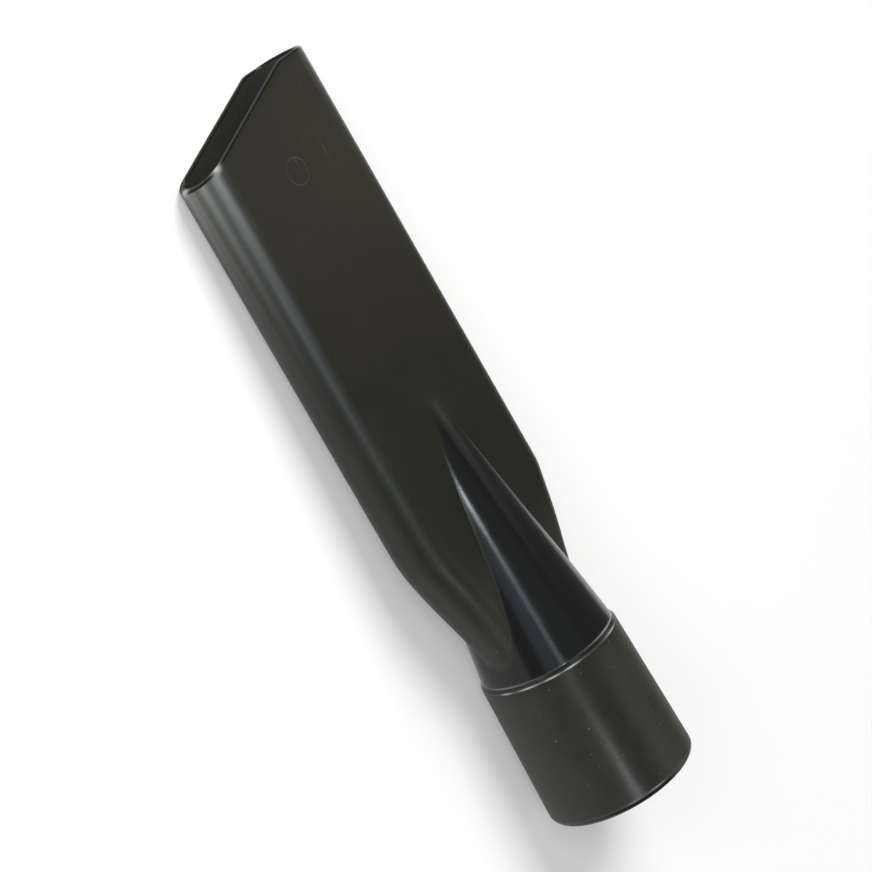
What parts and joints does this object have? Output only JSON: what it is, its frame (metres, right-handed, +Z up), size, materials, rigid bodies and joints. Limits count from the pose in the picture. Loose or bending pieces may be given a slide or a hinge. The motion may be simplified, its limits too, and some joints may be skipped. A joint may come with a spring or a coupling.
{
  "type": "vacuum crevice tool",
  "caption": "Flat one-piece vacuum crevice tool: a round push-on socket narrows through a conical neck into a hollow flat blade with a slanted mouth.",
  "frame": {"origin": "middle of the bottom of the tool's box, on the surface that it lies on", "axes": "+X along the surface from the socket to the mouth, +Z up, +Y towards the blade's short side"},
  "size_m": [0.2032, 0.0544, 0.0427],
  "materials": {
    "black_plastic": "satin black moulded plastic, lightly dusty and scuffed"
  },
  "bodies": {
    "root": {"crevice_tool": "black_plastic"}
  },
  "joints": []
}
